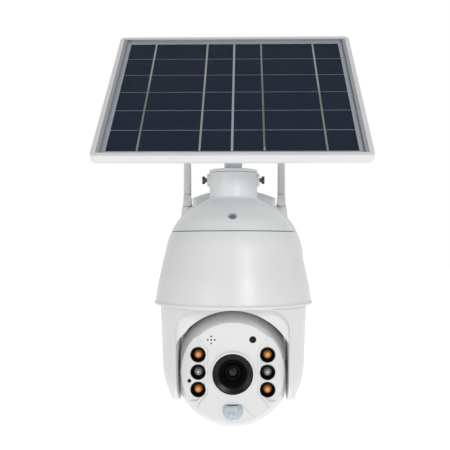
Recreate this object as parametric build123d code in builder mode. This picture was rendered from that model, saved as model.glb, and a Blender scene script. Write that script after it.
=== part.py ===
from build123d import *
import os
from math import cos, sin, tan, radians, pi, acos

os.makedirs("parts", exist_ok=True)

# Frame: millimetres, +Z up, origin at the centre of the wall face, front towards -Y.

# ---------------------------------------------------------------- driving dimensions
AXIS_Y = -98.0          # vertical axis of the dome, the yoke and the panel post
WALL = 3.0              # moulded wall of the housings
FIT = 0.05              # radial clearance of a shaft in its bore
GAP = 0.4               # gap between pieces that move past each other
BOARD_T = 1.6           # thickness of the circuit boards

SEAM_Z = 31.0           # joint between the dome and its top cover
RIM_Z = -40.8           # lower edge of the dome
RIM_R = 80.0
SEAM_R = 62.8
NECK_R = 24.5
NECK_TOP = 91.2
PLUG_R = 20.0           # swivel plug inside the neck
PLUG_BOTTOM = 68.0
LOCK_Z = 84.6           # height of the lock screws
CAP_H = 3.0

DRUM_R = 75.0           # wall housing
PLATE_T = 5.0
HOLE_X = 45.0           # wall screw holes, half spacing
HOLE_Z = 42.0
HOLE_R = 2.6

DECK_Z = -36.5          # top of the yoke's deck
YOKE_TOP = -41.3
YOKE_END = -139.6       # blunt ends of the yoke's arms
TILT_Z = -106.5         # head tilt axis
ARCH_R = 61.6
ARM_END_R = 55.0        # rounding of the arms' lower ends, seen from the side
SLOT_X = 54.0           # half width between the yoke's arms
ARM_WALL = 2.6
SHAFT_R = 6.0           # trunnion shafts

BALL_R = 60.2
FLAT_X = 51.3           # half width over the head's flat sides
FACE_F = 31.0           # face seat, forward of the tilt axis
FACE_T = 3.0
LENS_DZ = -1.4          # lens centre below the face centre
LED_X = 34.0
LED_PITCH = 17.0

PANEL_W = 258.0
PANEL_L = 219.0
PANEL_T = 11.0
PANEL_TILT = 45.3
PANEL_F = 9.0           # panel centre forward of the body axis
PANEL_Z = 176.3
HINGE_Z = 146.0         # panel tilt hinge
POST_W = 18.0
RAIL = 9.0              # width of the panel's frame rails

ANTENNA_X = 52.5
ANTENNA_Y = AXIS_Y + 60.0
ELBOW_Z = 70.0
SOCKET_Z = 59.0
BLADE_TOP = 136.0

# ---------------------------------------------------------------- planes and axes
BODY = Plane(origin=(0, AXIS_Y, 0), x_dir=(1, 0, 0), z_dir=(0, 0, 1))
SECTION = Plane(origin=(0, AXIS_Y, 0), x_dir=(1, 0, 0), z_dir=(0, -1, 0))
BODY_AXIS = Axis((0, AXIS_Y, 0), (0, 0, 1))
WALL_FACE = Plane(origin=(0, 0, 0), x_dir=(1, 0, 0), z_dir=(0, -1, 0))
HEAD = Plane(origin=(0, AXIS_Y, TILT_Z), x_dir=(1, 0, 0), z_dir=(0, -1, 0))
LENS_Z = TILT_Z + LENS_DZ
LENS_SIDE = Plane(origin=(0, AXIS_Y, LENS_Z), x_dir=(0, 0, 1), z_dir=(1, 0, 0))
LENS_AXIS = Axis((0, AXIS_Y, LENS_Z), (0, -1, 0))
LENS_FRONT = Plane(origin=(0, AXIS_Y, LENS_Z), x_dir=(1, 0, 0), z_dir=(0, -1, 0))
TILT_AXIS = Axis((0, AXIS_Y, TILT_Z), (1, 0, 0))
PANEL = Plane(
    origin=(0, AXIS_Y - PANEL_F, PANEL_Z),
    x_dir=(1, 0, 0),
    z_dir=(0, -sin(radians(PANEL_TILT)), cos(radians(PANEL_TILT))),
)


def side_plane(x):
    """Plane facing +X at the given x, with its centre on the tilt axis."""
    return Plane(origin=(x, AXIS_Y, TILT_Z), x_dir=(0, 1, 0), z_dir=(1, 0, 0))


def level(z):
    """Horizontal plane on the body axis."""
    return BODY.offset(z)


# ---------------------------------------------------------------- helpers
def spin(points, plane=SECTION, axis=BODY_AXIS, mode=Mode.ADD):
    """Turn a closed outline about an axis."""
    with BuildSketch(plane) as outline:
        with BuildLine():
            Polyline(*points, close=True)
        make_face()
    revolve(outline.sketch, axis=axis, mode=mode)


def prism(points, plane, height, mode=Mode.ADD, taper=0):
    """Extrude a closed outline."""
    with BuildSketch(plane) as outline:
        with BuildLine():
            Polyline(*points, close=True)
        make_face()
    extrude(outline.sketch, amount=height, taper=taper, mode=mode)


def rods(plane, spots, r, height, mode=Mode.ADD, taper=0):
    """Round bars or holes that stand on a plane."""
    with BuildSketch(plane) as outline:
        with Locations(*spots):
            Circle(r)
    extrude(outline.sketch, amount=height, taper=taper, mode=mode)


def blocks(plane, spots, w, h, height, mode=Mode.ADD, corner=0.0):
    """Rectangular blocks or pockets that stand on a plane."""
    with BuildSketch(plane) as outline:
        with Locations(*spots):
            if corner:
                RectangleRounded(w, h, corner)
            else:
                Rectangle(w, h)
    extrude(outline.sketch, amount=height, mode=mode)


def screw(plane, spots, r, length, head_r, head_h):
    """Pan-head screws: heads stand on the plane, shanks go below it."""
    rods(plane, spots, r, -length)
    rods(plane, spots, head_r, head_h)
    with BuildSketch(plane.offset(head_h)) as slots:
        with Locations(*spots):
            Rectangle(head_r * 1.2, head_r * 0.28)
            Rectangle(head_r * 0.28, head_r * 1.2)
    extrude(slots.sketch, amount=-head_h * 0.6, mode=Mode.SUBTRACT)


def export(part, name):
    """Label a finished piece and write it."""
    part.label = name
    export_step(part, "parts/" + name + ".step")


GEAR_ANGLE = 20.0
ADDENDUM = 0.7
DEDENDUM = 1.0
BACKLASH = 0.22


def gear_outline(teeth, module, phase):
    """Points of an involute spur gear, first tooth centred on the phase angle."""
    pitch = teeth * module / 2
    base = pitch * cos(radians(GEAR_ANGLE))
    tip = pitch + ADDENDUM * module
    root = pitch - DEDENDUM * module
    inv_pitch = tan(radians(GEAR_ANGLE)) - radians(GEAR_ANGLE)
    half_pitch = (pi * module / 2 - BACKLASH) / (2 * pitch)

    def flank(r):
        """Half angle of the tooth at a radius."""
        if r <= base:
            return half_pitch + inv_pitch
        a = acos(base / r)
        return half_pitch + inv_pitch - (tan(a) - a)

    first = max(root, base)
    steps = 4
    radii = [first + (tip - first) * i / steps for i in range(steps + 1)]
    if root < base:
        radii = [root] + radii
    points = []
    for i in range(teeth):
        centre = radians(phase) + 2 * pi * i / teeth
        for r in radii:
            points.append((r * cos(centre - flank(r)), r * sin(centre - flank(r))))
        for r in reversed(radii):
            points.append((r * cos(centre + flank(r)), r * sin(centre + flank(r))))
    return points


# ---------------------------------------------------------------- body profiles
DOME = [(SEAM_R, SEAM_Z), (67.5, 19.0), (70.6, 6.4), (76.4, -18.0), (79.2, -35.0), (RIM_R, RIM_Z)]
COVER = [(SEAM_R - 1, SEAM_Z + 0.8), (60.6, 34.0), (56.6, 41.3), (49.9, 48.6), (44.0, 54.0), (37.0, 58.8),
         (31.2, 62.0), (NECK_R, 65.0)]


def turned_body(points, dr=0.0, dz=0.0, mode=Mode.ADD):
    """Solid of revolution under a smooth profile, flat at both ends."""
    profile = [(r + dr, z + dz) for r, z in points]
    with BuildSketch(SECTION) as outline:
        with BuildLine():
            Spline(*profile)
            Polyline(profile[-1], (0, profile[-1][1]), (0, profile[0][1]), profile[0])
        make_face()
    revolve(outline.sketch, axis=BODY_AXIS, mode=mode)


# ---------------------------------------------------------------- dome shell
PORT_Z = 12.0           # cable port between the wall housing and the dome
PORT_R = 7.0
LIP_OUT = 0.6           # the rim's lip stands this far out
SHELF_R = SEAM_R - 7.0  # opening in the shelf that carries the seam gasket
GASKET_T = 0.8


def rim_lip(mode=Mode.ADD):
    """Rounded lip around the dome's lower edge."""
    lip_r = RIM_R + LIP_OUT
    spin([(RIM_R - 2, RIM_Z), (RIM_R + 0.4, RIM_Z), (lip_r, RIM_Z + 0.4), (lip_r, RIM_Z + 1.8),
          (RIM_R - 0.8, RIM_Z + 4.4), (RIM_R - 2, RIM_Z + 4.4)], mode=mode)


with BuildPart() as dome_shell:
    turned_body(DOME)
    rim_lip()
    turned_body(DOME, -WALL, -WALL, Mode.SUBTRACT)
    rods(level(RIM_Z), [(0, 0)], RIM_R - WALL, WALL + 1, mode=Mode.SUBTRACT)
    rods(level(RIM_Z - WALL), [(0, 0)], RIM_R - WALL, WALL + 1, mode=Mode.SUBTRACT)
    rods(level(0), [(0, 0)], SHELF_R, SEAM_Z + 1, mode=Mode.SUBTRACT)
    rods(Plane(origin=(0, AXIS_Y + 50, PORT_Z), x_dir=(1, 0, 0), z_dir=(0, 1, 0)), [(0, 0)], PORT_R, 40,
         mode=Mode.SUBTRACT)
export(dome_shell.part, "dome_shell")

with BuildPart() as seam_gasket:
    spin([(SHELF_R + 0.5, SEAM_Z), (SEAM_R - 0.9, SEAM_Z), (SEAM_R - 0.9, SEAM_Z + GASKET_T),
          (SHELF_R + 0.5, SEAM_Z + GASKET_T)])
export(seam_gasket.part, "seam_gasket")

# ---------------------------------------------------------------- top cover with neck
SCREW_TILT = 42.0       # slope of the cover's screw recesses
RECESS_R = 51.0
RECESS_Z = 44.0
BOSS_X = 26.6           # half width over the lock screw bosses
BOSS_D = 17.0
BOSS_H = 12.0
COVER_WALL = WALL + 0.6
RECESS_HOLE = 4.3       # counterbore over a cover screw
RECESS_PAD = 6.8
THREAD_R = 1.6          # hole for a 3 mm screw
LOCK_BORE = 2.25
LOCK_R = 2.2
LOCK_L = 8.6
LOCK_HEAD = 3.95
LOCK_HEAD_H = 2.9


def recess_plane(side):
    """Seat of a cover screw; side is -1 at the front and 1 at the back."""
    return Plane(origin=(0, AXIS_Y + side * RECESS_R, RECESS_Z), x_dir=(1, 0, 0),
                 z_dir=(0, side * cos(radians(SCREW_TILT)), sin(radians(SCREW_TILT))))


with BuildPart() as top_cover:
    turned_body(COVER)
    spin([(0, 50), (NECK_R + 2.6, 63.0), (NECK_R, 66.5), (NECK_R, NECK_TOP), (0, NECK_TOP)])
    with BuildSketch(Plane.YZ.offset(-BOSS_X)) as bosses:
        with Locations((AXIS_Y, LOCK_Z)):
            RectangleRounded(BOSS_D, BOSS_H, 4.5)
    extrude(bosses.sketch, amount=2 * BOSS_X)
    turned_body(COVER, -COVER_WALL, -WALL, Mode.SUBTRACT)
    rods(level(SEAM_Z), [(0, 0)], COVER[0][0] - COVER_WALL, 1, mode=Mode.SUBTRACT)
    rods(level(0), [(0, 0)], PLUG_R + FIT, NECK_TOP + 1, mode=Mode.SUBTRACT)
    for side in (-1, 1):
        rods(recess_plane(side), [(0, 0)], RECESS_PAD, -5)
        rods(recess_plane(side), [(0, 0)], RECESS_HOLE, 12, mode=Mode.SUBTRACT)
        rods(recess_plane(side), [(0, 0)], THREAD_R, -12, mode=Mode.SUBTRACT)
        lock_bore = Plane(origin=(side * BOSS_X, AXIS_Y, LOCK_Z), x_dir=(0, 1, 0), z_dir=(side, 0, 0))
        rods(lock_bore, [(0, 0)], LOCK_BORE, -10, mode=Mode.SUBTRACT)
export(top_cover.part, "top_cover")

with BuildPart() as lock_screws:
    for side in (-1, 1):
        tip = Plane(origin=(side * (PLUG_R + GAP), AXIS_Y, LOCK_Z), x_dir=(0, 1, 0), z_dir=(side, 0, 0))
        rods(tip, [(0, 0)], LOCK_R, LOCK_L)
        rods(tip.offset(LOCK_L), [(0, 0)], LOCK_HEAD, LOCK_HEAD_H)
        with BuildSketch(tip.offset(LOCK_L + LOCK_HEAD_H)) as socket:
            RegularPolygon(1.9, 6)
        extrude(socket.sketch, amount=-2, mode=Mode.SUBTRACT)
export(lock_screws.part, "lock_screws")

# ---------------------------------------------------------------- wall housing
DRUM_CUT_Y = -18.0      # front of the drum below the rim, clear of the turning yoke
SOCKET_R = 9.0
BOSS_LOW = 32.0         # foot of the antenna bosses
CROWN_R = 111.0         # flat arc on top of the housing, between the antennas
CROWN_TOP = 78.0
CROWN_W = 90.0
DRUM_DEPTH = 60.0
INLET_Y = -11.0         # cable inlet under the drum
INLET_R = 4.0
STUD_HOLE = 3.3
PLATE_IN = 0.6          # wall plate stands in from the housing's outline
FREE = 300.0            # larger than the whole body, for cuts that leave it open


def housing_outline(plane, grow, height, mode=Mode.ADD):
    """Drum with its crown; grow moves the whole outline outwards."""
    with BuildSketch(plane) as outline:
        with Locations((0, CROWN_TOP - CROWN_R)):
            Circle(CROWN_R + grow)
        with Locations((0, FREE / 2)):
            Rectangle(CROWN_W + 2 * grow, FREE, mode=Mode.INTERSECT)
        Circle(DRUM_R + grow)
    extrude(outline.sketch, amount=height, mode=mode)


def antenna_spot(side, z):
    """Horizontal plane centred on an antenna."""
    return Plane(origin=(side * ANTENNA_X, ANTENNA_Y, z), z_dir=(0, 0, 1))


with BuildPart() as housing_hollow:
    housing_outline(WALL_FACE.offset(PLATE_T - 1), -WALL, DRUM_DEPTH - WALL)
    turned_body(DOME, WALL, mode=Mode.SUBTRACT)
    turned_body(COVER, WALL, WALL, Mode.SUBTRACT)
    rods(level(SEAM_Z - 1), [(0, 0)], SEAM_R + WALL, 5, mode=Mode.SUBTRACT)
    blocks(level(RIM_Z + WALL), [(0, 0)], FREE, 2 * (DRUM_CUT_Y + WALL - AXIS_Y), -FREE, mode=Mode.SUBTRACT)

with BuildPart() as housing_body:
    housing_outline(WALL_FACE.offset(PLATE_T), 0, DRUM_DEPTH)
    chamfer(housing_body.faces().sort_by(Axis.Y)[0].edges(), 4)
    for side in (-1, 1):
        rods(antenna_spot(side, BOSS_LOW), [(0, 0)], SOCKET_R, SOCKET_Z - BOSS_LOW, taper=6)
    turned_body(DOME, mode=Mode.SUBTRACT)
    turned_body(COVER, mode=Mode.SUBTRACT)
    rods(level(SEAM_Z - 1), [(0, 0)], SEAM_R - 0.2, 2.5, mode=Mode.SUBTRACT)
    rim_lip(Mode.SUBTRACT)
    blocks(level(RIM_Z + 0.01), [(0, 0)], FREE, 2 * (DRUM_CUT_Y - AXIS_Y), -FREE, mode=Mode.SUBTRACT)
    add(housing_hollow.part, mode=Mode.SUBTRACT)
    rods(Plane(origin=(0, -10, PORT_Z), x_dir=(1, 0, 0), z_dir=(0, -1, 0)), [(0, 0)], PORT_R, 40,
         mode=Mode.SUBTRACT)
    for side in (-1, 1):
        rods(antenna_spot(side, SOCKET_Z), [(0, 0)], STUD_HOLE, -24, mode=Mode.SUBTRACT)
    rods(Plane(origin=(0, INLET_Y, -DRUM_R - 1), z_dir=(0, 0, 1)), [(0, 0)], INLET_R + FIT, 8,
         mode=Mode.SUBTRACT)


CELL_R = 9.2
CELL_L = 65.0
CELL_Y = -16.6
CELL_ROWS = [48.6, 29.2]
GROOVE_OUT = DRUM_R - 4.0
GROOVE_IN = DRUM_R - 6.0
GROOVE_DEPTH = 1.4
CRADLE_X = 20.0         # ribs that carry the cells

with BuildPart() as wall_plate:
    housing_outline(WALL_FACE, -PLATE_IN, PLATE_T)
    chamfer(wall_plate.faces().sort_by(Axis.Y)[-1].edges(), 1)
    corners = [(x * HOLE_X, z * HOLE_Z) for x in (-1, 1) for z in (-1, 1)]
    rods(WALL_FACE, corners, HOLE_R, PLATE_T, mode=Mode.SUBTRACT)
    spin([(GROOVE_IN, 0), (GROOVE_OUT, 0), (GROOVE_OUT, GROOVE_DEPTH), (GROOVE_IN, GROOVE_DEPTH)],
         Plane(origin=(0, 0, 0), x_dir=(1, 0, 0), z_dir=(0, 0, -1)), Axis((0, 0, 0), (0, 1, 0)),
         Mode.SUBTRACT)
    blocks(WALL_FACE.offset(PLATE_T - 0.5), [(-CRADLE_X, 39), (CRADLE_X, 39)], 5, 38, 9)
    for z in CELL_ROWS:
        rods(Plane(origin=(-CELL_L / 2 - 1, CELL_Y, z), x_dir=(0, 1, 0), z_dir=(1, 0, 0)), [(0, 0)],
             CELL_R + FIT, CELL_L + 2, mode=Mode.SUBTRACT)
export(wall_plate.part, "wall_plate")

# ---------------------------------------------------------------- antennas
STUD_R = 3.25
COLLAR_R = 5.9
SOCKET_RING = 1.5
COLLAR_Z = SOCKET_Z + SOCKET_RING + GAP
EAR_R = 4.3             # rounded ears of the elbow's fork
EAR_DEPTH = 11.0
TONGUE_D = 5.2
SLOT_LOW = ELBOW_Z - 5.2

with BuildPart() as antenna_sockets:
    for side in (-1, 1):
        foot = antenna_spot(side, SOCKET_Z)
        rods(foot, [(0, 0)], COLLAR_R, SOCKET_RING)
        rods(foot.offset(-10), [(0, 0)], STUD_R, 14)
export(antenna_sockets.part, "antenna_sockets")


PIN_R = 1.2


def antenna_collar(side):
    """Turning base with the fork that carries the blade."""
    pivot = Plane(origin=(side * ANTENNA_X, ANTENNA_Y, ELBOW_Z), x_dir=(1, 0, 0), z_dir=(0, -1, 0))
    with BuildPart() as collar:
        with BuildSketch(antenna_spot(side, COLLAR_Z)) as low:
            Circle(COLLAR_R)
        with BuildSketch(antenna_spot(side, SLOT_LOW)) as high:
            Circle(EAR_R + 0.3)
        loft([low.sketch, high.sketch])
        blocks(antenna_spot(side, COLLAR_Z + 1), [(0, 0)], 2 * EAR_R, EAR_DEPTH, ELBOW_Z - COLLAR_Z - 1)
        rods(pivot.offset(-EAR_DEPTH / 2), [(0, 0)], EAR_R, EAR_DEPTH)
        rods(antenna_spot(side, COLLAR_Z - 1), [(0, 0)], STUD_R + FIT, 3.6, mode=Mode.SUBTRACT)
        blocks(antenna_spot(side, SLOT_LOW), [(0, 0)], 20, TONGUE_D + 2 * 0.3, 12, mode=Mode.SUBTRACT)
        rods(pivot.offset(-EAR_DEPTH), [(0, 0)], PIN_R + 0.02, 2 * EAR_DEPTH, mode=Mode.SUBTRACT)
    return collar.part


def antenna_blade(side):
    """Flat-sided blade with its pivot tongue and pin."""
    pivot = Plane(origin=(side * ANTENNA_X, ANTENNA_Y, ELBOW_Z), x_dir=(1, 0, 0), z_dir=(0, -1, 0))
    with BuildPart() as blade:
        rods(pivot.offset(-TONGUE_D / 2), [(0, 0)], EAR_R - 0.2, TONGUE_D)
        blocks(antenna_spot(side, ELBOW_Z), [(0, 0)], 8, TONGUE_D, 6)
        with BuildSketch(antenna_spot(side, ELBOW_Z + EAR_R + GAP)) as root:
            RectangleRounded(8.4, 9.6, 2.4)
        with BuildSketch(antenna_spot(side, BLADE_TOP)) as top:
            RectangleRounded(7.4, 7.8, 2.2)
        loft([root.sketch, top.sketch])
        fillet(blade.edges().group_by(Axis.Z)[-1], 1.4)
        rods(pivot.offset(-EAR_DEPTH / 2 + 0.2), [(0, 0)], PIN_R, EAR_DEPTH - 0.4)
    return blade.part


for name, side in (("left", -1), ("right", 1)):
    export(antenna_collar(side), "antenna_elbow_" + name)
    export(antenna_blade(side), "antenna_blade_" + name)

# ---------------------------------------------------------------- inside the wall housing
with BuildPart() as battery_cells:
    for z in CELL_ROWS:
        body = Plane(origin=(-CELL_L / 2, CELL_Y, z), x_dir=(0, 1, 0), z_dir=(1, 0, 0))
        rods(body, [(0, 0)], CELL_R, CELL_L - 1)
        rods(body.offset(CELL_L - 1), [(0, 0)], 3, 1)
export(battery_cells.part, "battery_cells")

with BuildPart() as charge_board:
    board = WALL_FACE.offset(8)
    blocks(board, [(0, -22)], 60, 34, BOARD_T, corner=1.5)
    chips = board.offset(BOARD_T)
    blocks(chips, [(-14, -18)], 7, 7, 1.0)
    blocks(chips, [(8, -26)], 9, 9, 3.6)
    blocks(chips, [(22, -14), (22, -30)], 7, 5, 4.5)
    rods(chips, [(-22, -32), (-10, -32)], 3, 5.5)
    rods(WALL_FACE.offset(PLATE_T), [(-26, -9), (26, -9), (-26, -35), (26, -35)], 2.4, 3)
export(charge_board.part, "charge_board")

INLET_END = WALL + 12.6
INLET_BORE = 2.6
FLUTES = 12

with BuildPart() as solar_inlet:
    down = Plane(origin=(0, INLET_Y, -DRUM_R + WALL), x_dir=(1, 0, 0), z_dir=(0, 0, -1))
    rods(down, [(0, 0)], INLET_R, 6)
    rods(down.offset(WALL + 0.4), [(0, 0)], 6.0, 3.2)
    rods(down.offset(WALL + 3.6), [(0, 0)], 5.2, 9, taper=4)
    rods(down.offset(INLET_END), [(0, 0)], INLET_BORE, -13, mode=Mode.SUBTRACT)
    for i in range(FLUTES):
        a = 2 * pi * i / FLUTES
        rods(down.offset(WALL + 4), [(5.6 * cos(a), 5.6 * sin(a))], 0.5, 8, mode=Mode.SUBTRACT)
export(solar_inlet.part, "solar_inlet")

# ---------------------------------------------------------------- chassis and pan drive in the dome
CHASSIS_Z = -31.5
CHASSIS_T = 2.4
PAN_TEETH = 48
PINION_TEETH = 12
SPINDLE_R = 14.0
PAN_CENTRE = (PAN_TEETH + PINION_TEETH) / 2
PAN_GEAR_Z = -22.0
GEAR_W = 4.0
MOTOR_R = 14.0
MOTOR_Z = PAN_GEAR_Z + GEAR_W + 7.0
BOARD_Z = 16.0
BOARD_POSTS = [(-44, 12), (-44, -12), (12, -46), (-20, 44)]
BOARD_R = 52.0
CHASSIS_R = 74.4
CHASSIS_SCREWS = 66.0   # radius of the chassis screw circle
BEARING_R = 17.0
BEARING_H = CHASSIS_T + 4.0

with BuildPart() as chassis:
    rods(level(CHASSIS_Z), [(0, 0)], CHASSIS_R, CHASSIS_T)
    rods(level(CHASSIS_Z), [(0, 0)], BEARING_R + 2.6, BEARING_H)
    rods(level(CHASSIS_Z), [(0, 0)], BEARING_R, BEARING_H, mode=Mode.SUBTRACT)
    with BuildSketch(level(CHASSIS_Z)) as posts:
        with PolarLocations(CHASSIS_SCREWS, 4, start_angle=45):
            Circle(4)
    extrude(posts.sketch, amount=12)
    rods(level(CHASSIS_Z), BOARD_POSTS, 2.6, BOARD_Z - CHASSIS_Z)
    blocks(level(CHASSIS_Z), [(PAN_CENTRE + 4, 20)], 26, 4, MOTOR_Z - CHASSIS_Z)
    blocks(level(MOTOR_Z - 2), [(PAN_CENTRE + 4, 6)], 28, 32, 2, corner=3)
    rods(level(MOTOR_Z - 2), [(PAN_CENTRE, 0)], 4.7, 2, mode=Mode.SUBTRACT)
    with BuildSketch(level(CHASSIS_Z)) as holes:
        with PolarLocations(CHASSIS_SCREWS, 4, start_angle=45):
            Circle(1.5)
    extrude(holes.sketch, amount=8, mode=Mode.SUBTRACT)
    with BuildSketch(level(CHASSIS_Z)) as windows:
        with PolarLocations(52, 8, start_angle=22.5):
            Circle(5)
    extrude(windows.sketch, amount=CHASSIS_T, mode=Mode.SUBTRACT)
export(chassis.part, "chassis")

SCREW_R = 1.5
SCREW_L = 8.0
SCREW_HEAD = 2.9
SCREW_HEAD_H = 1.7

with BuildPart() as housing_screws:
    seats = [recess_plane(side) for side in (-1, 1)]
    for i in range(4):
        a = radians(45 + 90 * i)
        seats.append(Plane(origin=(CHASSIS_SCREWS * cos(a), AXIS_Y + CHASSIS_SCREWS * sin(a), CHASSIS_Z),
                           x_dir=(1, 0, 0), z_dir=(0, 0, -1)))
    for angle in (35, 145, 235, 305):
        a = radians(angle)
        seats.append(Plane(origin=((DRUM_R - 1) * cos(a), -PLATE_T - 5, (DRUM_R - 1) * sin(a)),
                           x_dir=(0, 1, 0), z_dir=(cos(a), 0, sin(a))))
    for seat in seats:
        screw(seat, [(0, 0)], SCREW_R, SCREW_L, SCREW_HEAD, SCREW_HEAD_H)
with BuildPart() as housing_with_seats:
    add(housing_body.part)
    add(housing_screws.part, mode=Mode.SUBTRACT)
with BuildPart() as wall_housing:
    add(housing_with_seats.part.solids().sort_by(SortBy.VOLUME)[-1])
export(wall_housing.part, "wall_housing")
export(housing_screws.part, "housing_screws")

with BuildPart() as pan_bearing:
    rods(level(CHASSIS_Z), [(0, 0)], BEARING_R, BEARING_H)
    rods(level(CHASSIS_Z), [(0, 0)], SPINDLE_R + FIT, BEARING_H, mode=Mode.SUBTRACT)
export(pan_bearing.part, "pan_bearing")

with BuildPart() as pan_gear:
    prism(gear_outline(PAN_TEETH, 1.0, 0), level(PAN_GEAR_Z), GEAR_W)
    rods(level(PAN_GEAR_Z), [(0, 0)], SPINDLE_R, GEAR_W, mode=Mode.SUBTRACT)
    with BuildSketch(level(PAN_GEAR_Z)) as windows:
        with PolarLocations(18.6, 8):
            Circle(2.4)
    extrude(windows.sketch, amount=GEAR_W, mode=Mode.SUBTRACT)
export(pan_gear.part, "pan_gear")

PAN_MOTOR = Plane(origin=(PAN_CENTRE, AXIS_Y, PAN_GEAR_Z), x_dir=(1, 0, 0), z_dir=(0, 0, 1))
SHAFT = 1.5

with BuildPart() as pan_pinion:
    prism(gear_outline(PINION_TEETH, 1.0, 180.0 / PINION_TEETH), PAN_MOTOR.offset(-0.4), GEAR_W + 0.8)
    rods(PAN_MOTOR.offset(GEAR_W), [(0, 0)], 3.4, 1.6)
    rods(PAN_MOTOR.offset(-1), [(0, 0)], SHAFT + FIT, GEAR_W + 9, mode=Mode.SUBTRACT)
export(pan_pinion.part, "pan_pinion")

with BuildPart() as pan_motor:
    motor_foot = level(MOTOR_Z)
    rods(motor_foot, [(PAN_CENTRE, 0)], MOTOR_R, 19)
    rods(motor_foot, [(PAN_CENTRE, 0)], SHAFT, PAN_GEAR_Z - MOTOR_Z)
    rods(motor_foot, [(PAN_CENTRE, 0)], 4.5, -2)
    blocks(motor_foot.offset(7), [(PAN_CENTRE + MOTOR_R, 0)], 5, 14, 9)
export(pan_motor.part, "pan_motor")

with BuildPart() as main_board:
    board = level(BOARD_Z)
    with BuildSketch(board) as outline:
        Circle(BOARD_R)
    extrude(outline.sketch, amount=BOARD_T)
    rods(board, [(0, 0)], 6, BOARD_T, mode=Mode.SUBTRACT)
    top_side = board.offset(BOARD_T)
    blocks(top_side, [(-20, 12)], 14, 14, 1.2)
    blocks(top_side, [(18, 18)], 11, 9, 1.0)
    blocks(top_side, [(24, -14)], 16, 20, 2.4)
    blocks(top_side, [(-24, -18), (-12, -30), (10, -32)], 8, 5, 4)
    rods(top_side, [(-34, 0), (-34, 10)], 3.2, 7)
    blocks(top_side, [(0, 40), (0, -42)], 14, 5, 5.5)
export(main_board.part, "main_board")

# ---------------------------------------------------------------- yoke
YOKE = [(74.6, YOKE_TOP), (73.8, -62.4), (72.8, -85.5), (72.2, -102.8), (71.2, -112.4), (68.7, -122.5),
        (65.0, -132.0), (62.4, YOKE_END + 2.0), (59.8, YOKE_END)]
DISH_F = 47.0           # floor of the dished relief around the arch
CAVITY_X = 56.4         # inner end of the arms' hollows
CAVITY_TOP = -70.5
CAVITY_BOTTOM = -127.5
CAVITY_Y = 20.5
BORE_R = 9.0            # cable way through the spindle
DISH_CORNER = 20.0
DECK_R = 60.0
DECK_GROOVE = (26.0, 56.0)
POST_R = 3.2            # posts for the arm cover screws


def slot_shape(grow, plane, length, mode):
    """Arched slot of the yoke, seen from the front."""
    with BuildSketch(plane) as slot:
        Circle(ARCH_R + grow)
        with Locations((0, -100)):
            Rectangle(2 * ARCH_R + 10, 200)
        Rectangle(2 * (SLOT_X + grow), 400, mode=Mode.INTERSECT)
    extrude(slot.sketch, amount=length, mode=mode)


def arm_ends(grow, mode):
    """Cuts away what lies below the arms' rounded ends."""
    centre = Plane(origin=(-100, AXIS_Y, YOKE_END + ARM_END_R), x_dir=(0, 1, 0), z_dir=(1, 0, 0))
    with BuildSketch(centre) as ends:
        with Locations((0, -100)):
            Rectangle(4 * ARM_END_R, 200)
        Circle(ARM_END_R - grow, mode=Mode.SUBTRACT)
    extrude(ends.sketch, amount=200, mode=mode)


def dish_shape(grow, mode):
    """Dished relief in the yoke's front around the arch."""
    with BuildSketch(HEAD.offset(DISH_F - grow)) as dish:
        with Locations((0, ARCH_R + grow - 100)):
            RectangleRounded(2 * (SLOT_X + grow), 200, DISH_CORNER)
    extrude(dish.sketch, amount=60, taper=-12, mode=mode)


with BuildPart() as yoke_hollow:
    turned_body(YOKE, -ARM_WALL)
    blocks(level(YOKE_TOP - ARM_WALL), [(0, 0)], 300, 300, 60, mode=Mode.SUBTRACT)
    blocks(level(CAVITY_BOTTOM - 6), [(0, 0)], 300, 300, -60, mode=Mode.SUBTRACT)
    slot_shape(CAVITY_X - SLOT_X, HEAD.offset(-100), 200, Mode.SUBTRACT)
    dish_shape(CAVITY_X - SLOT_X, Mode.SUBTRACT)
    arm_ends(ARM_WALL, Mode.SUBTRACT)

COVER_Y = 2 * CAVITY_Y + 7.0
COVER_H = CAVITY_TOP - CAVITY_BOTTOM + 5.0
COVER_T = 2.2
COVER_DZ = (CAVITY_TOP + CAVITY_BOTTOM) / 2 - TILT_Z
COVER_SCREWS = [(y * (CAVITY_Y + 1.4), COVER_DZ + z * (COVER_H / 2 - 8)) for y in (-1, 1) for z in (-1, 1)]

with BuildPart() as yoke:
    turned_body(YOKE)
    rods(level(YOKE_TOP), [(0, 0)], DECK_R, DECK_Z - YOKE_TOP)
    inner, outer = DECK_GROOVE
    spin([(inner, DECK_Z + 1), (outer, DECK_Z + 1), (outer, YOKE_TOP), (inner, YOKE_TOP)], mode=Mode.SUBTRACT)
    slot_shape(0, HEAD.offset(-100), 200, Mode.SUBTRACT)
    dish_shape(0, Mode.SUBTRACT)
    arm_ends(0, Mode.SUBTRACT)
    add(yoke_hollow.part, mode=Mode.SUBTRACT)
    for side in (-1, 1):
        cover_seat = Plane(origin=(side * SLOT_X, AXIS_Y, TILT_Z), x_dir=(0, 1, 0), z_dir=(side, 0, 0))
        blocks(cover_seat, [(0, side * COVER_DZ)], COVER_Y, COVER_H, CAVITY_X - SLOT_X, corner=6,
               mode=Mode.SUBTRACT)
        rods(cover_seat.offset(CAVITY_X - SLOT_X), [(y, side * z) for y, z in COVER_SCREWS], POST_R, 4)
    rods(level(TILT_Z), [(0, 0)], BORE_R, 100, mode=Mode.SUBTRACT)
export(yoke.part, "yoke")

with BuildPart() as arm_covers:
    for side in (-1, 1):
        cover_seat = Plane(origin=(side * SLOT_X, AXIS_Y, TILT_Z), x_dir=(0, 1, 0), z_dir=(side, 0, 0))
        blocks(cover_seat, [(0, side * COVER_DZ)], COVER_Y - GAP, COVER_H - GAP, COVER_T, corner=5.8)
        rods(cover_seat, [(0, 0)], SHAFT_R + FIT, 3, mode=Mode.SUBTRACT)
export(arm_covers.part, "arm_covers")

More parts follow.
